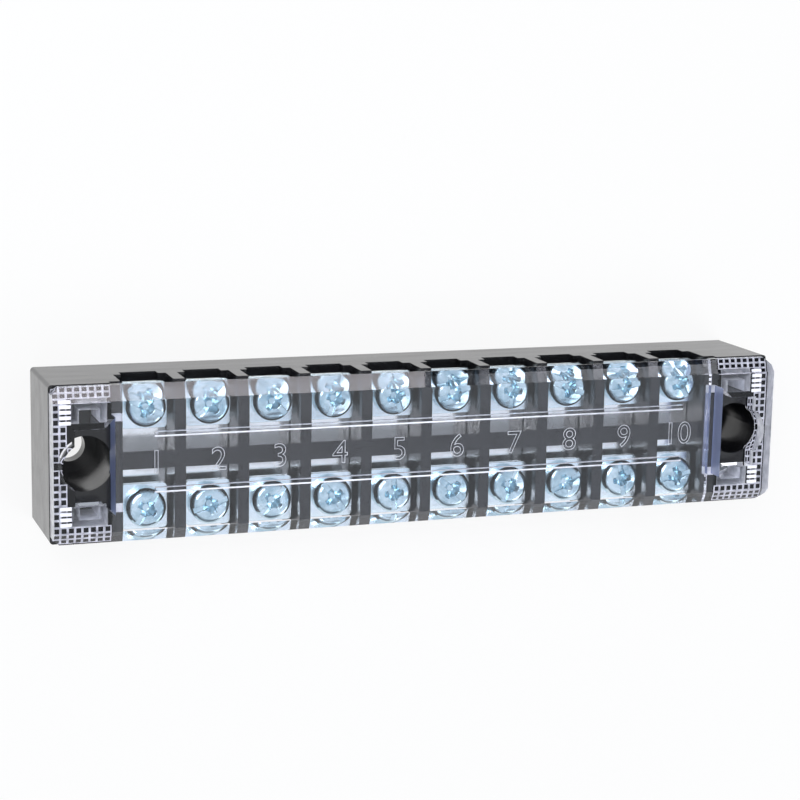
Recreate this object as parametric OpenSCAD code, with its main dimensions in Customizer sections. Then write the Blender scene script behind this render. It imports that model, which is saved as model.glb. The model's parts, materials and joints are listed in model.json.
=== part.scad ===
// Barrier terminal strip: a one-piece moulded housing with two rows of clamp
// screws, one flat conductor per position and a clear clip-on cover.
// Millimetres. The mounting face is the plane z = 0 and the origin is at its
// middle. X runs along the positions, Z points to the cover.

/* [Positions] */
// Number of terminal positions
positions = 10; // [2:1:11]
// Distance between neighbouring positions
pitch = 9; // [8.6:0.1:12]
// Distance from the long centre line to each row of screws
row_offset = 7.1; // [6.6:0.1:7.2]

/* [Housing] */
// Width across both rows
housing_w = 22; // [21.6:0.1:24]
// Length of the solid block beyond the last barrier's middle
block_l = 9.2; // [8.8:0.1:14]
// Height of the end blocks
block_h = 14.2; // [13.8:0.1:16]
// Radius of the housing's upright corners
housing_corner_r = 0.5; // [0.3:0.1:1]
// Thickness of each barrier between positions
barrier_t = 1.6; // [1.2:0.1:1.8]
// Height of the barriers and of the middle rib
barrier_h = 13.2; // [12.8:0.1:13.8]
// Width of the middle rib that bridges the conductors
rib_w = 2.5; // [2:0.1:3.5]

/* [Wire entries] */
// Height of the narrow lower part of each wire entry
entry_low_h = 6.8; // [6:0.1:7.2]
// Width of that lower part
entry_low_w = 5.2; // [4.4:0.1:6]
// Height of the corner ledges that hold the conductor down
entry_ledge_h = 8.4; // [8.2:0.1:9]
// How far each ledge reaches over the end of the conductor
ledge_reach = 0.85; // [0.5:0.05:1.2]

/* [Conductors] */
// Height of the conductor's clamping face
conductor_top = 7.9; // [7.6:0.1:8]
// Thickness of the conductor
conductor_t = 1; // [0.8:0.1:1.2]
// Width of the conductor
conductor_w = 7.2; // [6.4:0.1:7.2]
// Length of the conductor across the strip
conductor_l = 18; // [17:0.1:18.2]
// Corner radius of the conductor
conductor_corner_r = 0.4; // [0.2:0.1:0.8]
// Outside diameter of the collar under each tapped hole
collar_d = 3.6; // [3.2:0.1:3.6]
// Height of that collar
collar_h = 1.2; // [0.8:0.1:1.6]
// Size of the staked nibs that hold the conductor up
nib = 0.35; // [0.2:0.05:0.4]

/* [Screws and washers] */
// Core diameter of the screw thread
screw_core_d = 2.4; // [2:0.1:2.6]
// Pitch of the screw thread
thread_pitch = 0.5; // [0.4:0.05:0.6]
// Length of the shank under the head
screw_l = 8; // [6:0.5:9]
// Diameter of the pan head
head_d = 5.6; // [4.8:0.1:5.8]
// Height of the pan head
head_h = 2.2; // [1.8:0.1:2.4]
// Turns by which each screw stands open
open_turns = 4; // [2:1:4]
// Width of the slot across the head
slot_w = 0.8; // [0.6:0.05:0.9]
// Depth of that slot
slot_depth = 0.6; // [0.5:0.05:0.9]
// Reach of the cross recess from the middle of the head
cross_reach = 1.65; // [1.3:0.05:1.9]
// Depth of the cross recess
cross_depth = 1.5; // [1:0.1:1.7]
// Width of each wing of the cross recess
cross_wing_w = 0.9; // [0.7:0.05:1]
// Radius of the funnel in the middle of the cross recess
cross_funnel_r = 1.05; // [0.8:0.05:1.2]
// Side of the square clamp washer
washer_w = 6.4; // [5.8:0.1:6.6]
// Thickness of the clamp washer
washer_t = 0.8; // [0.6:0.1:1]
// Corner radius of the clamp washer
washer_corner_r = 0.6; // [0.3:0.1:1]

/* [Cover] */
// Thickness of the cover where it rests on the end blocks
cover_t = 3; // [2.6:0.1:3.4]
// Thickness of the cover over the terminals
window_t = 2.2; // [1.8:0.1:2.4]
// How far the cover stands back from the housing's long sides
cover_side_inset = 0.1; // [0.1:0.1:0.6]
// How far the cover stands back from the housing's ends
cover_end_inset = 0.1; // [0.1:0.1:0.6]
// Height of the slanted long edge
edge_rise = 2; // [1.4:0.1:2.2]
// Width of the slanted long edge
edge_run = 1.9; // [1.2:0.1:2.2]
// Cut across each corner of the cover
cover_corner = 1; // [0.6:0.1:1.6]
// Distance of the two stiffening ribs from the centre line
window_rib_offset = 3.9; // [3:0.1:5]
// Width of each stiffening rib
window_rib_w = 0.75; // [0.5:0.05:1]
// Height of each stiffening rib
window_rib_h = 0.5; // [0.3:0.1:0.8]
// Distance from each end wall at which the stiffening ribs stop
window_rib_stop = 4.5; // [2:0.1:6]
// Width of the opening round a mounting hole
notch_w = 10.6; // [9.6:0.1:11]
// Width of that opening at its flared inner end
notch_flare_w = 13.6; // [12:0.1:14.4]
// Thickness of the end wall that shields the last terminal
shield_t = 1.3; // [1:0.1:1.5]
// Gap between the end wall and the barrier under it
shield_gap = 0.1; // [0.1:0.1:0.5]

/* [Cover legs] */
// Width of each leg along the strip
leg_w = 4.8; // [4:0.1:5]
// Depth of each leg across the strip
leg_depth = 2.8; // [2.4:0.1:3]
// Wall thickness of the channel-shaped leg
leg_wall = 1; // [0.8:0.1:1.1]
// How far each leg reaches into the end block
leg_l = 6; // [4:0.1:7]
// Distance from the centre line to the inner side of the leg
leg_offset = 5.8; // [5.6:0.1:6]

/* [Mounting holes] */
// Distance of each mounting hole from the end
hole_inset = 4.9; // [4.6:0.1:6]
// Diameter of the through hole
hole_d = 4.5; // [3.6:0.1:5]
// Diameter of the counterbore
counterbore_d = 7.7; // [7:0.1:7.8]
// Thickness of the floor under the screw head
hole_floor = 2.4; // [2:0.1:4]

/* [Fits] */
// Clearance round the conductor in its pocket
pocket_clear = 0.05; // [0.03:0.01:0.1]
// Radial clearance of the screw core in the conductor
thread_clear = 0.05; // [0.02:0.01:0.1]
// Radial clearance of the screw core in the washer
washer_clear = 0.35; // [0.2:0.05:0.5]
// Clearance between the washer and the barriers
side_clear = 0.1; // [0.05:0.05:0.3]
// Clearance of each leg in its socket
leg_clear = 0.1; // [0.05:0.01:0.2]

/* [Hidden] */
$fn = 48;
rows = ["a", "b"];

through = 1;                                  // overshoot of every cut
zone_l = positions * pitch;                   // first to last barrier, middle to middle
strip_l = zone_l + 2 * block_l;
core_l = zone_l + barrier_t;                  // between the inner faces of the end blocks
cell_w = pitch - barrier_t;
hole_x = strip_l / 2 - hole_inset;
conductor_bottom = conductor_top - conductor_t;
pocket_w = conductor_w + 2 * pocket_clear;
pocket_l = conductor_l + 2 * pocket_clear;

screw_lift = open_turns * thread_pitch;       // gap under each washer as it stands open
washer_bottom = conductor_top + screw_lift;
head_bottom = washer_bottom + washer_t;
bore_r = screw_core_d / 2 + thread_clear;

cover_bottom = block_h;
cover_top = cover_bottom + cover_t;
window_bottom = cover_top - window_t;
cover_l = strip_l - 2 * cover_end_inset;
cover_w = housing_w - 2 * cover_side_inset;
shield_outer = zone_l / 2 + barrier_t / 2 - 0.1;
shield_inner = shield_outer - shield_t;
notch_outer = hole_x + counterbore_d / 4;     // straight outer side of the opening
notch_r = counterbore_d / 2 - 0.25;
leg_x = notch_outer - leg_w / 2;
window_rib_l = 2 * (shield_inner - window_rib_stop);

// Directions in which the screw slots happen to point, by row
slot_angles = [
    [154, 38, 135, 70, 110, 20, 85, 160, 5, 120],
    [57, 18, 48, 128, 92, 140, 66, 30, 100, 12]
];

function position_x(i) = (i - (positions + 1) / 2) * pitch;
function row_y(r) = (r == "a" ? 1 : -1) * row_offset;
function slot_angle(r, i) = slot_angles[r == "a" ? 0 : 1][(i - 1) % 10];

// Upright block, centred on x and y, between two heights
module block(l, w, from, to) {
    translate([-l / 2, -w / 2, from]) cube([l, w, to - from]);
}

// Upright block with rounded corners
module rounded_block(l, w, r, from, to) {
    translate([0, 0, from]) linear_extrude(to - from) {
        square([l - 2 * r, w], center = true);
        square([l, w - 2 * r], center = true);
        for (x = [-1, 1], y = [-1, 1])
            translate([x * (l / 2 - r), y * (w / 2 - r)]) circle(r);
    }
}

module at_ends() {
    for (end = [0, 1]) mirror([end, 0, 0]) children();
}

module at_sides() {
    for (side = [0, 1]) mirror([0, side, 0]) children();
}

// ---- Housing ----

module end_block() {
    intersection() {
        rounded_block(strip_l, housing_w, housing_corner_r, 0, block_h);
        translate([core_l / 2, -housing_w / 2, 0])
            cube([block_l, housing_w, block_h]);
    }
}

// Everything taken out of the housing at one position
module cell_cut() {
    // room for the washers and wires, open to both long sides
    at_sides() translate([0, rib_w / 2, 0]) {
        translate([-cell_w / 2, 0, entry_ledge_h])
            cube([cell_w, housing_w, block_h]);
        translate([-cell_w / 2, 0, conductor_top])
            cube([cell_w, conductor_l / 2 - ledge_reach - rib_w / 2, block_h]);
        translate([-entry_low_w / 2, 0, conductor_top])
            cube([entry_low_w, housing_w, block_h]);
    }
    // way for the washer down to the conductor
    washer_room = washer_w / 2 + side_clear;
    at_sides() translate([-washer_room, row_offset - washer_room, conductor_top])
        cube([2 * washer_room, 2 * washer_room, block_h]);
    // narrow lower part of the wire entry
    at_sides() translate([-entry_low_w / 2, conductor_l / 2, entry_low_h])
        cube([entry_low_w, housing_w, block_h]);
    // pocket that the conductor is pushed into from below
    block(pocket_w, pocket_l, -through, conductor_top);
}

// Staked nibs under the corners of one conductor
module nibs() {
    for (x = [-1, 1], y = [-1, 1])
        translate([x * (pocket_w / 2 - nib / 2), y * conductor_l / 3, 0])
            block(nib, 4 * nib, conductor_bottom - 2 * nib, conductor_bottom);
}

module mounting_hole() {
    translate([hole_x, 0, -through]) cylinder(d = hole_d, h = block_h);
    translate([hole_x, 0, hole_floor]) cylinder(d = counterbore_d, h = block_h);
}

// Sockets for the cover's legs, and the hollows under them
module block_hollows() {
    socket_floor = block_h - leg_l - 0.4;
    hollow_w = leg_depth + 1;
    at_sides() translate([leg_x, leg_offset + leg_depth / 2, 0]) {
        block(leg_w + 2 * leg_clear, leg_depth + 2 * leg_clear, socket_floor, block_h + through);
        block(leg_w, hollow_w, -through, socket_floor - 2);
    }
}

module housing() color("#17181b") {
    difference() {
        union() {
            block(core_l, housing_w, 0, entry_ledge_h);
            block(core_l, rib_w, 0, barrier_h);
            for (i = [0 : positions])
                translate([-zone_l / 2 + i * pitch, 0, 0])
                    block(barrier_t, housing_w, 0, barrier_h);
            at_ends() end_block();
        }
        for (i = [1 : positions]) translate([position_x(i), 0, 0]) cell_cut();
        at_ends() {
            mounting_hole();
            block_hollows();
        }
    }
    for (i = [1 : positions]) translate([position_x(i), 0, 0]) nibs();
}

// ---- Conductors ----

module conductor(i) color("#d9d7cf") translate([position_x(i), 0, 0]) difference() {
    union() {
        rounded_block(conductor_w, conductor_l, conductor_corner_r, conductor_bottom, conductor_top);
        at_sides() translate([0, row_offset, conductor_bottom - collar_h])
            cylinder(d = collar_d, h = collar_h + conductor_t / 2);
    }
    at_sides() translate([0, row_offset, 0]) cylinder(r = bore_r, h = block_h);
}

// ---- Clamp screws and washers ----

// Half section of the pan head: flat underneath, with a rounded rim and a domed top
module head_section() {
    rim_r = 0.42 * head_h;
    dome_rise = 0.14 * head_h;
    edge = [for (a = [0 : 15 : 75])
        [head_d / 2 - rim_r * (1 - cos(a)), head_h - dome_rise - rim_r * (1 - sin(a))]];
    polygon(concat([[0, 0], [head_d / 2, 0]], edge, [[0, head_h]]));
}

// Cone that points down, with its point cut off, and reaches radius r at height 0
module recess_cone(r) {
    slope = (r - cross_wing_w / 2) / cross_depth;
    translate([0, 0, -cross_depth])
        cylinder(r1 = cross_wing_w / 2, r2 = r + slope * through, h = cross_depth + through);
}

module cross_recess() {
    recess_cone(cross_funnel_r);
    intersection() {
        for (a = [0, 90]) rotate(a) block(2 * head_d, cross_wing_w, -cross_depth, through);
        recess_cone(cross_reach);
    }
}

module clamp_screw(r, i) color("#c4d4da")
    translate([position_x(i), row_y(r), head_bottom]) rotate(slot_angle(r, i)) difference() {
        union() {
            rotate_extrude() head_section();
            translate([0, 0, -screw_l]) cylinder(d = screw_core_d, h = screw_l + head_h / 4);
        }
        translate([0, 0, head_h]) {
            cross_recess();
            block(head_d + through, slot_w, -slot_depth, through);
        }
    }

module clamp_washer(r, i) color("#dbe8ec")
    translate([position_x(i), row_y(r), 0]) difference() {
        rounded_block(washer_w, washer_w, washer_corner_r, washer_bottom, head_bottom);
        translate([0, 0, washer_bottom - through])
            cylinder(r = screw_core_d / 2 + washer_clear, h = washer_t + 2 * through);
    }

// ---- Cover ----

// Section across the strip, with its slanted long edges
module cover_section() {
    half = cover_w / 2;
    flat = half - edge_run;
    polygon([
        [-half, cover_bottom], [half, cover_bottom], [half, cover_top - edge_rise],
        [flat, cover_top], [-flat, cover_top], [-half, cover_top - edge_rise]
    ]);
}

// Outline of the cover seen from above, with its corners cut
module cover_outline() {
    l = cover_l / 2;
    w = cover_w / 2;
    c = cover_corner;
    polygon([
        [-l + c, -w], [l - c, -w], [l, -w + c], [l, w - c],
        [l - c, w], [-l + c, w], [-l, w - c], [-l, -w + c]
    ]);
}

// Opening round a mounting hole: straight sides, a round bulge and a flared inner end
module notch() {
    flare = (notch_flare_w - notch_w) / 2;
    translate([hole_x, 0, 0]) cylinder(r = notch_r, h = 2 * cover_top);
    linear_extrude(2 * cover_top) polygon([
        [shield_outer, -notch_flare_w / 2], [shield_outer + flare, -notch_w / 2],
        [notch_outer, -notch_w / 2], [notch_outer, notch_w / 2],
        [shield_outer + flare, notch_w / 2], [shield_outer, notch_flare_w / 2]
    ]);
}

// Wall that stands on the end barrier and closes the opening towards the terminals
module shield() {
    translate([shield_inner, -notch_flare_w / 2, barrier_h + shield_gap])
        cube([shield_t, notch_flare_w, cover_top - barrier_h - shield_gap - window_t / 2]);
}

// Channel-shaped leg, open towards the mounting hole
module leg() {
    at_sides() translate([leg_x, leg_offset + leg_depth / 2, 0]) difference() {
        block(leg_w, leg_depth, cover_bottom - leg_l, cover_bottom + through / 2);
        translate([0, -leg_wall, 0])
            block(leg_w - 2 * leg_wall, leg_depth, cover_bottom - leg_l - through, cover_bottom);
    }
}

module cover() color([0.86, 0.9, 0.95, 0.4]) union() {
    difference() {
        intersection() {
            rotate([90, 0, 90]) translate([0, 0, -cover_l / 2])
                linear_extrude(cover_l) cover_section();
            linear_extrude(2 * cover_top) cover_outline();
        }
        block(2 * shield_inner, housing_w + through, 0, window_bottom);
        at_ends() notch();
    }
    at_sides() translate([0, window_rib_offset, 0])
        block(window_rib_l, window_rib_w, window_bottom - window_rib_h, window_bottom);
    at_ends() {
        shield();
        leg();
    }
}

housing();
cover();
for (i = [1 : positions]) {
    conductor(i);
    for (r = rows) {
        clamp_screw(r, i);
        clamp_washer(r, i);
    }
}
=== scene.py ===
import json
import math

import bmesh
import bpy
from mathutils import Matrix, Vector

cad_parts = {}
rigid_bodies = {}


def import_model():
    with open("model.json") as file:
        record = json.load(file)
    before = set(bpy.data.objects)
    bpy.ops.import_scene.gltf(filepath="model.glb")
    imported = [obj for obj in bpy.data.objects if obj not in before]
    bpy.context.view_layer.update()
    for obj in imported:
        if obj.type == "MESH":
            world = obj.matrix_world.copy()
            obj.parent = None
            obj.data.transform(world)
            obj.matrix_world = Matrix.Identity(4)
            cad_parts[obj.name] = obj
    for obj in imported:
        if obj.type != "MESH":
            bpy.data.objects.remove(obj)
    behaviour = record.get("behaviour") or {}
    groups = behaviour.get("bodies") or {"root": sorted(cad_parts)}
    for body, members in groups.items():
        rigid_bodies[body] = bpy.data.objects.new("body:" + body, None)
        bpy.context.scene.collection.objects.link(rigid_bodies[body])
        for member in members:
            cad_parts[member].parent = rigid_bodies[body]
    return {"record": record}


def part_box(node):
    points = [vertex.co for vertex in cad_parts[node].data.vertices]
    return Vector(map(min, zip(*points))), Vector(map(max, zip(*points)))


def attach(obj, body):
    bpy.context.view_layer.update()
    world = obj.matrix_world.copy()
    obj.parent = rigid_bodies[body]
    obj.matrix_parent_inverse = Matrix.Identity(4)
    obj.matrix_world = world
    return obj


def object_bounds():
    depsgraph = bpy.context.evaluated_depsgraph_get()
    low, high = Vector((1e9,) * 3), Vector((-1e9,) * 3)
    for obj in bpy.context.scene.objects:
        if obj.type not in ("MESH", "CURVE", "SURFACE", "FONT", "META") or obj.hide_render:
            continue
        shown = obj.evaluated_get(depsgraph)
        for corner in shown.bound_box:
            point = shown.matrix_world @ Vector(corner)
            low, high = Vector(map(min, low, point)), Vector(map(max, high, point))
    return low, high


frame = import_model()
cad_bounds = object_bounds()

MM = 0.001
COVER_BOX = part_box("cover")
COVER_TOP = COVER_BOX[1][2]
COVER_END = COVER_BOX[1][0]
COVER_THICKNESS = 3 * MM
LEG_TOP = COVER_TOP - COVER_THICKNESS
LEG_INNER_SIDE = 5.7 * MM
END_WALL_FACE = (45.62 * MM, 45.78 * MM)
END_WALL_HALF_WIDTH = 6.75 * MM
END_WALL_TOP = 17.1 * MM
RIB_END = 39.9 * MM
RIB_OFFSET = 3.9 * MM
# Offset and depth of the pale lines that paint the highlights at the rib edges.
RIB_HIGHLIGHT_OFFSET = 0.3 * MM
RIB_HIGHLIGHT_DEPTH = 2.58 * MM
NUMBER_FIRST_X = -40.1 * MM
NUMBER_SPACING = 8.72 * MM
THREAD_PITCH = 0.5 * MM
THREAD_TURNS = 15
STEPS_PER_TURN = 16
ROWS = ("a", "b")
POSITIONS = range(1, 11)


# ---------------------------------------------------------------- node helpers

def new_material(name):
    material = bpy.data.materials.new(name)
    material.use_nodes = True
    nodes = material.node_tree.nodes
    nodes.clear()
    output = nodes.new("ShaderNodeOutputMaterial")
    shader = nodes.new("ShaderNodeBsdfPrincipled")
    material.node_tree.links.new(shader.outputs["BSDF"], output.inputs["Surface"])
    return material, nodes, material.node_tree.links, shader


def object_coordinates(nodes):
    return nodes.new("ShaderNodeTexCoord").outputs["Object"]


def noise(nodes, links, vector, scale, detail=3.0, roughness=0.5):
    node = nodes.new("ShaderNodeTexNoise")
    node.inputs["Scale"].default_value = scale
    node.inputs["Detail"].default_value = detail
    node.inputs["Roughness"].default_value = roughness
    links.new(vector, node.inputs["Vector"])
    return node.outputs["Fac"]


def stretched(nodes, links, vector, scale):
    node = nodes.new("ShaderNodeMapping")
    node.inputs["Scale"].default_value = scale
    links.new(vector, node.inputs["Vector"])
    return node.outputs["Vector"]


def remap(nodes, links, value, low, high, to_low, to_high):
    node = nodes.new("ShaderNodeMapRange")
    node.inputs["From Min"].default_value = low
    node.inputs["From Max"].default_value = high
    node.inputs["To Min"].default_value = to_low
    node.inputs["To Max"].default_value = to_high
    links.new(value, node.inputs["Value"])
    return node.outputs["Result"]


def ramp(nodes, links, value, stops):
    node = nodes.new("ShaderNodeValToRGB")
    elements = node.color_ramp.elements
    while len(elements) < len(stops):
        elements.new(0.5)
    for element, (position, colour) in zip(elements, stops):
        element.position = position
        element.color = (*colour, 1.0)
    links.new(value, node.inputs["Fac"])
    return node.outputs["Color"]


def math_node(nodes, links, operation, *values):
    node = nodes.new("ShaderNodeMath")
    node.operation = operation
    for socket, value in zip(node.inputs, values):
        if isinstance(value, (int, float)):
            socket.default_value = value
        else:
            links.new(value, socket)
    return node.outputs["Value"]


def bump(nodes, links, height, distance, strength=1.0, normal=None):
    node = nodes.new("ShaderNodeBump")
    node.inputs["Strength"].default_value = strength
    node.inputs["Distance"].default_value = distance
    links.new(height, node.inputs["Height"])
    if normal is not None:
        links.new(normal, node.inputs["Normal"])
    return node.outputs["Normal"]


def soft_edges(nodes, radius):
    node = nodes.new("ShaderNodeBevel")
    node.samples = 4
    node.inputs["Radius"].default_value = radius
    return node.outputs["Normal"]


# ------------------------------------------------------------------- materials

def black_plastic():
    material, nodes, links, shader = new_material("glossy_black_plastic")
    where = object_coordinates(nodes)
    shade = noise(nodes, links, where, 180.0)
    links.new(ramp(nodes, links, shade, [(0.3, (0.006, 0.006, 0.007)), (0.7, (0.011, 0.011, 0.013))]),
              shader.inputs["Base Color"])
    smear = noise(nodes, links, stretched(nodes, links, where, (1.0, 3.0, 5.0)), 90.0, 4.0)
    links.new(remap(nodes, links, smear, 0.3, 0.75, 0.13, 0.24), shader.inputs["Roughness"])
    shader.inputs["IOR"].default_value = 1.5
    waves = noise(nodes, links, where, 140.0, 2.0)
    links.new(bump(nodes, links, waves, 0.00004, 0.35, soft_edges(nodes, 0.00012)), shader.inputs["Normal"])
    return material


def within(nodes, links, value, low, high):
    above = math_node(nodes, links, "GREATER_THAN", value, low)
    below = math_node(nodes, links, "LESS_THAN", value, high)
    return math_node(nodes, links, "MULTIPLY", above, below)


def all_of(nodes, links, *masks):
    result = masks[0]
    for mask in masks[1:]:
        result = math_node(nodes, links, "MULTIPLY", result, mask)
    return result


def blend_colour(nodes, links, mask, first, second):
    node = nodes.new("ShaderNodeMix")
    node.data_type = "RGBA"
    links.new(mask, node.inputs["Factor"])
    for socket, colour in ((node.inputs["A"], first), (node.inputs["B"], second)):
        if isinstance(colour, tuple):
            socket.default_value = (*colour, 1.0)
        else:
            links.new(colour, socket)
    return node.outputs["Result"]


def clear_plastic():
    """Clear moulding with frosted legs and end faces, and a bluish painted reflection on the outer side of
    each end wall.
    """
    material, nodes, links, shader = new_material("clear_cover_plastic")
    split = nodes.new("ShaderNodeSeparateXYZ")
    where = object_coordinates(nodes)
    links.new(where, split.inputs["Vector"])
    along = math_node(nodes, links, "ABSOLUTE", split.outputs["X"])
    across = math_node(nodes, links, "ABSOLUTE", split.outputs["Y"])
    height = split.outputs["Z"]

    legs = all_of(nodes, links, math_node(nodes, links, "LESS_THAN", height, LEG_TOP - 0.01 * MM),
                  math_node(nodes, links, "GREATER_THAN", across, LEG_INNER_SIDE))
    ends = math_node(nodes, links, "GREATER_THAN", along, COVER_END - 0.03 * MM)
    frosted = math_node(nodes, links, "MAXIMUM", legs, ends)
    # Outer side of each end wall: its bluish tint, low transmission and higher roughness paint the
    # reflection seen there.
    painted_reflection_walls = all_of(nodes, links, within(nodes, links, along, *END_WALL_FACE),
                   math_node(nodes, links, "LESS_THAN", across, END_WALL_HALF_WIDTH),
                   math_node(nodes, links, "LESS_THAN", height, END_WALL_TOP))
    cloud = noise(nodes, links, where, 700.0, 4.0)
    frost_tone = ramp(nodes, links, cloud, [(0.3, (0.55, 0.56, 0.6)), (0.7, (0.95, 0.95, 0.97))])
    tint = blend_colour(nodes, links, frosted, (0.94, 0.95, 1.0), frost_tone)
    tint = blend_colour(nodes, links, painted_reflection_walls, tint, (0.16, 0.2, 0.36))
    links.new(tint, shader.inputs["Base Color"])
    # Frosted parts and the painted reflection on the end wall sides both get less transmission and more
    # roughness.
    frost_and_painted_reflection = math_node(nodes, links, "MAXIMUM", frosted, painted_reflection_walls)
    links.new(remap(nodes, links, frost_and_painted_reflection, 0.0, 1.0, 1.0, 0.25), shader.inputs["Transmission Weight"])
    links.new(remap(nodes, links, frost_and_painted_reflection, 0.0, 1.0, 0.02, 0.35), shader.inputs["Roughness"])
    shader.inputs["IOR"].default_value = 1.42
    clear = nodes.new("ShaderNodeBsdfTransparent")
    clear.inputs["Color"].default_value = (0.9, 0.92, 0.97, 1.0)
    path = nodes.new("ShaderNodeLightPath")
    mix = nodes.new("ShaderNodeMixShader")
    output = next(n for n in nodes if n.type == "OUTPUT_MATERIAL")
    links.new(path.outputs["Is Shadow Ray"], mix.inputs["Fac"])
    links.new(shader.outputs["BSDF"], mix.inputs[1])
    links.new(clear.outputs["BSDF"], mix.inputs[2])
    links.new(mix.outputs["Shader"], output.inputs["Surface"])
    return material


def frosted_plastic(name, light, dark):
    """Milky finish of the moulded textures on the clear cover; on the moulded lines (rib edges, number
    outlines and leg ridges) its pale colour is a painted highlight.
    """
    material, nodes, links, shader = new_material(name)
    where = object_coordinates(nodes)
    cloud = noise(nodes, links, where, 900.0, 3.0)
    links.new(ramp(nodes, links, cloud, [(0.35, dark), (0.65, light)]), shader.inputs["Base Color"])
    links.new(remap(nodes, links, cloud, 0.3, 0.7, 0.25, 0.45), shader.inputs["Roughness"])
    links.new(bump(nodes, links, cloud, 0.00003, 0.4), shader.inputs["Normal"])
    return material


def plated_metal(name, light, dark, rough_low, rough_high, grain, edge):
    material, nodes, links, shader = new_material(name)
    where = object_coordinates(nodes)
    tone = noise(nodes, links, where, 420.0, 4.0, 0.6)
    links.new(ramp(nodes, links, tone, [(0.35, dark), (0.65, light)]), shader.inputs["Base Color"])
    shader.inputs["Metallic"].default_value = 1.0
    wear = noise(nodes, links, stretched(nodes, links, where, grain), 900.0, 3.0)
    links.new(remap(nodes, links, wear, 0.3, 0.7, rough_low, rough_high), shader.inputs["Roughness"])
    links.new(bump(nodes, links, wear, 0.00002, 0.3, soft_edges(nodes, edge)), shader.inputs["Normal"])
    return material


MATERIALS = {
    "housing_plastic": black_plastic(),
    "clear_cover": clear_plastic(),
    "conductor_metal": plated_metal("nickel_plate", (0.95, 0.96, 0.95), (0.9, 0.91, 0.9),
                                    0.1, 0.18, (1.0, 0.15, 1.0), 0.00008),
    "screw_metal": plated_metal("zinc_plate_screw", (0.66, 0.8, 0.86), (0.36, 0.52, 0.6),
                                0.12, 0.24, (1.0, 1.0, 1.0), 0.00012),
    "washer_metal": plated_metal("zinc_plate_washer", (0.84, 0.92, 0.95), (0.7, 0.82, 0.88),
                                 0.14, 0.26, (1.0, 1.0, 1.0), 0.0001),
}

for part in frame["record"]["subparts"]:
    cad_object = bpy.data.objects[part["node"]]
    cad_object.data.materials.clear()
    cad_object.data.materials.append(MATERIALS[part["material_slot"]])


# ------------------------------------------------------- details on the cover

# Grey and bright white paint the highlights on the rib edges, number outlines and leg ridges; the grid
# texture is a real milky finish.
GREY_PAINTED_HIGHLIGHT = frosted_plastic("grey_painted_highlight", (0.75, 0.76, 0.8), (0.5, 0.51, 0.55))
PAINTED_HIGHLIGHT_WHITE = frosted_plastic("painted_highlight_white", (0.98, 0.98, 1.0), (0.9, 0.9, 0.93))
TEXTURE = frosted_plastic("frosted_texture", (0.62, 0.62, 0.68), (0.3, 0.3, 0.34))


def piece(name, mesh, material, body):
    mesh.materials.clear()
    mesh.materials.append(material)
    obj = bpy.data.objects.new(name, mesh)
    bpy.context.scene.collection.objects.link(obj)
    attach(obj, body)
    return obj


def from_bmesh(name, shape, smooth=False):
    bmesh.ops.recalc_face_normals(shape, faces=shape.faces)
    for face in shape.faces:
        face.smooth = smooth
    mesh = bpy.data.meshes.new(name)
    shape.to_mesh(mesh)
    shape.free()
    return mesh


def rod(name, start_x, end_x, y, z, radius, material):
    """Rounded line along the cover, in a pale material that paints a highlight."""
    shape = bmesh.new()
    turn = Matrix.Rotation(math.radians(90), 4, "Y")
    place = Matrix.Translation(((start_x + end_x) / 2, y, z)) @ turn
    bmesh.ops.create_cone(shape, cap_ends=True, segments=12, radius1=radius, radius2=radius,
                          depth=end_x - start_x, matrix=place)
    piece(name, from_bmesh(name, shape, True), material, "cover")


def position_number(index):
    """Number of one position, moulded just inside the top of the cover; its thin pale outline paints the
    highlights along the edges of the strokes.
    """
    curve = bpy.data.curves.new("number", "FONT")
    curve.body = str(index)
    curve.size = 4.6 * MM
    curve.align_x, curve.align_y = "CENTER", "CENTER"
    curve.fill_mode = "NONE"
    curve.bevel_depth = 0.045 * MM
    curve.bevel_resolution = 1
    curve.resolution_u = 6
    text = bpy.data.objects.new("number", curve)
    bpy.context.scene.collection.objects.link(text)
    bpy.context.view_layer.update()
    mesh = bpy.data.meshes.new_from_object(text.evaluated_get(bpy.context.evaluated_depsgraph_get()))
    bpy.data.objects.remove(text)
    bpy.data.curves.remove(curve)
    centre_x = NUMBER_FIRST_X + NUMBER_SPACING * (index - 1)
    mesh.transform(Matrix.Translation((centre_x, 0.2 * MM, COVER_TOP - 0.06 * MM)))
    piece(f"position_number_{index}", mesh, GREY_PAINTED_HIGHLIGHT, "cover")


def in_cover_texture(x, y):
    """Whether the moulded grid covers a place under the cover's end, seen from above."""
    across = abs(y)
    notch = (x < 51.4 * MM and across < 5.5 * MM) or (x < 47.3 * MM and across < 7.0 * MM)
    bulge = math.hypot(x - 49.3 * MM, y) < 4.1 * MM
    leg = x < 51.4 * MM and x > 46.2 * MM and 5.6 * MM < across < 8.8 * MM
    corner = (x - 53.4 * MM) + (across - 10.2 * MM) > 0.2 * MM
    return not (notch or bulge or leg or corner)


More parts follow.
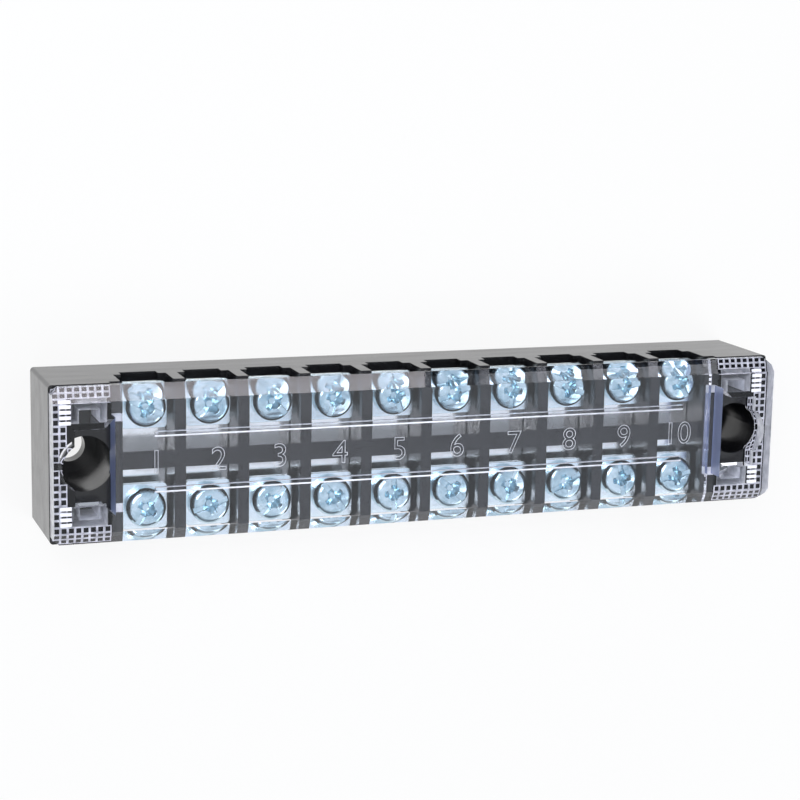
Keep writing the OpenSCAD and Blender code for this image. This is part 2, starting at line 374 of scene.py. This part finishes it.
def cover_texture(side):
    """Moulded grid of fine squares on the underside of one end of the cover."""
    low_x, high_x, half_y, pitch = 45.9 * MM, 53.9 * MM, 10.5 * MM, 1.0 * MM
    columns, rows = round((high_x - low_x) / pitch), round(2 * half_y / pitch)
    shape = bmesh.new()
    bmesh.ops.create_grid(shape, x_segments=columns, y_segments=rows, size=0.5)
    bmesh.ops.scale(shape, vec=(high_x - low_x, 2 * half_y, 1.0), verts=shape.verts)
    bmesh.ops.translate(shape, vec=((low_x + high_x) / 2, 0, LEG_TOP + 0.08 * MM), verts=shape.verts)
    outside = [f for f in shape.faces if not in_cover_texture(*f.calc_center_median()[:2])]
    bmesh.ops.delete(shape, geom=outside, context="FACES")
    centres = list(shape.faces)
    bmesh.ops.inset_individual(shape, faces=centres, thickness=0.22 * MM)
    bmesh.ops.delete(shape, geom=centres, context="FACES_ONLY")
    bmesh.ops.solidify(shape, geom=list(shape.faces), thickness=0.1 * MM)
    bmesh.ops.scale(shape, vec=(side, 1.0, 1.0), verts=shape.verts)
    name = "cover_texture_left" if side < 0 else "cover_texture_right"
    piece(name, from_bmesh(name, shape), TEXTURE, "cover")


def leg_ridges(side):
    """Stepped ribs beside the legs at one end of the cover, in bright white that paints the highlights
    beside the legs.
    """
    shape = bmesh.new()
    for half in (-1, 1):
        for step in range(4):
            y = half * (5.9 + 0.75 * step) * MM
            place = Matrix.Translation((side * 52.15 * MM, y, LEG_TOP + 0.35 * MM))
            bar = bmesh.ops.create_cube(shape, size=1.0, matrix=place @ Matrix.Diagonal(
                (1.6 * MM, 0.5 * MM, 0.3 * MM, 1.0)))
            edges = {e for v in bar["verts"] for e in v.link_edges}
            bmesh.ops.bevel(shape, geom=list(edges), offset=0.08 * MM, segments=2, profile=0.5,
                            affect="EDGES", material=-1)
    name = "leg_ridges_left" if side < 0 else "leg_ridges_right"
    piece(name, from_bmesh(name, shape, True), PAINTED_HIGHLIGHT_WHITE, "cover")


for index in POSITIONS:
    position_number(index)
for side in (-1, 1):
    cover_texture(side)
    leg_ridges(side)
# Pale lines along each rib are painted highlights: bright white at its lower edge, grey at its upper edge.
rib_highlight_z = COVER_TOP - RIB_HIGHLIGHT_DEPTH
for row, rib_y in (("a", RIB_OFFSET), ("b", -RIB_OFFSET)):
    rod(f"rib_highlight_{row}_low", -RIB_END, RIB_END, rib_y - RIB_HIGHLIGHT_OFFSET, rib_highlight_z,
        0.1 * MM, PAINTED_HIGHLIGHT_WHITE)
    rod(f"rib_highlight_{row}_high", -RIB_END, RIB_END, rib_y + RIB_HIGHLIGHT_OFFSET, rib_highlight_z,
        0.06 * MM, GREY_PAINTED_HIGHLIGHT)


# --------------------------------------------------------------- screw threads

def screw_thread(row, index):
    """Right-handed thread on one screw's shank, from under the head to its end."""
    name = f"clamp_screw_{row}{index}"
    low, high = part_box(name)
    centre = ((low[0] + high[0]) / 2, (low[1] + high[1]) / 2)
    start = low[2] + 0.2 * MM
    shape = bmesh.new()
    corners = [(1.17, 0.0), (1.43, 0.2), (1.43, 0.25), (1.17, 0.45)]
    verts = [shape.verts.new((centre[0] + r * MM, centre[1], start + z * MM)) for r, z in corners]
    profile = shape.faces.new(verts)
    bmesh.ops.spin(shape, geom=[profile, *profile.edges, *verts], cent=(*centre, 0), axis=(0, 0, 1),
                   dvec=(0, 0, THREAD_PITCH / STEPS_PER_TURN), angle=2 * math.pi * THREAD_TURNS,
                   steps=THREAD_TURNS * STEPS_PER_TURN, use_duplicate=False)
    mesh = from_bmesh(f"thread_{row}{index}", shape)
    piece(f"thread_{row}{index}", mesh, MATERIALS["screw_metal"], f"screw_{row}{index}")


for row in ROWS:
    for index in POSITIONS:
        screw_thread(row, index)


# ----------------------------------------------------------------------- stage

def floor():
    low_z = cad_bounds[0][2]
    mesh = bpy.data.meshes.new("floor")
    sheet = bmesh.new()
    bmesh.ops.create_grid(sheet, x_segments=1, y_segments=1, size=3.0,
                          matrix=Matrix.Translation((0, 0, low_z - 0.00002)))
    sheet.to_mesh(mesh)
    sheet.free()
    obj = bpy.data.objects.new("floor", mesh)
    bpy.context.scene.collection.objects.link(obj)
    material, nodes, links, shader = new_material("floor_white")
    shader.inputs["Base Color"].default_value = (0.82, 0.82, 0.82, 1.0)
    shader.inputs["Roughness"].default_value = 0.9
    glow = nodes.new("ShaderNodeEmission")
    glow.inputs["Color"].default_value = (1.0, 1.0, 1.0, 1.0)
    glow.inputs["Strength"].default_value = 1.0
    path = nodes.new("ShaderNodeLightPath")
    seen = math_node(nodes, links, "MAXIMUM", path.outputs["Is Camera Ray"], path.outputs["Is Glossy Ray"])
    seen = math_node(nodes, links, "MAXIMUM", seen, path.outputs["Is Transmission Ray"])
    share = math_node(nodes, links, "MULTIPLY", seen, 0.85)
    mix = nodes.new("ShaderNodeMixShader")
    output = next(n for n in nodes if n.type == "OUTPUT_MATERIAL")
    links.new(share, mix.inputs["Fac"])
    links.new(shader.outputs["BSDF"], mix.inputs[1])
    links.new(glow.outputs["Emission"], mix.inputs[2])
    links.new(mix.outputs["Shader"], output.inputs["Surface"])
    mesh.materials.append(material)


def world():
    studio = bpy.data.worlds.new("studio")
    studio.use_nodes = True
    bpy.context.scene.world = studio
    nodes, links = studio.node_tree.nodes, studio.node_tree.links
    nodes.clear()
    output = nodes.new("ShaderNodeOutputWorld")
    direction = nodes.new("ShaderNodeTexCoord").outputs["Generated"]
    split = nodes.new("ShaderNodeSeparateXYZ")
    links.new(direction, split.inputs["Vector"])
    sky = nodes.new("ShaderNodeBackground")
    links.new(ramp(nodes, links, split.outputs["Z"],
                   [(0.0, (0.4, 0.42, 0.45)), (0.12, (0.08, 0.09, 0.1)), (0.5, (0.14, 0.16, 0.18)),
                    (0.75, (0.75, 0.8, 0.86)), (0.9, (0.9, 0.95, 1.0)), (1.0, (0.95, 0.98, 1.0))]),
              sky.inputs["Color"])
    white = nodes.new("ShaderNodeBackground")
    white.inputs["Color"].default_value = (1.0, 1.0, 1.0, 1.0)
    path = nodes.new("ShaderNodeLightPath")
    mix = nodes.new("ShaderNodeMixShader")
    links.new(path.outputs["Is Camera Ray"], mix.inputs["Fac"])
    links.new(sky.outputs["Background"], mix.inputs[1])
    links.new(white.outputs["Background"], mix.inputs[2])
    links.new(mix.outputs["Shader"], output.inputs["Surface"])


def softbox(name, place, aim, size, watts, colour=(1.0, 1.0, 1.0)):
    light = bpy.data.lights.new(name, "AREA")
    light.shape = "RECTANGLE"
    light.size, light.size_y = size
    light.energy = watts
    light.color = colour
    obj = bpy.data.objects.new(name, light)
    obj.location = place
    obj.rotation_euler = (Vector(aim) - Vector(place)).to_track_quat("-Z", "Y").to_euler()
    bpy.context.scene.collection.objects.link(obj)


def camera():
    lens = bpy.data.cameras.new("camera")
    lens.sensor_width = 36.0
    lens.lens = 92.8
    lens.clip_start, lens.clip_end = 0.01, 10.0
    obj = bpy.data.objects.new("camera", lens)
    right = Vector((0.94315, 0.02004, 0.33177))
    back = Vector((-0.32934, 0.19094, 0.92470)).normalized()
    up = back.cross(right).normalized()
    right = up.cross(back)
    turn = Matrix((right, up, back)).transposed().to_4x4()
    obj.matrix_world = Matrix.Translation((-0.10061, 0.06262, 0.28484)) @ turn
    bpy.context.scene.collection.objects.link(obj)
    bpy.context.scene.camera = obj


bpy.context.scene.view_settings.view_transform = "Standard"
floor()
world()
softbox("key", (-0.3, 0.25, 0.55), (0, 0, 0), (0.35, 0.35), 2.2)
softbox("fill", (0.45, -0.35, 0.4), (0, 0, 0), (0.4, 0.4), 1.4)
softbox("upper_side_panel", (0.06, 0.6, 0.09), (0, 0, 0.012), (0.3, 0.15), 0.9, (1.0, 0.95, 0.99))
camera()
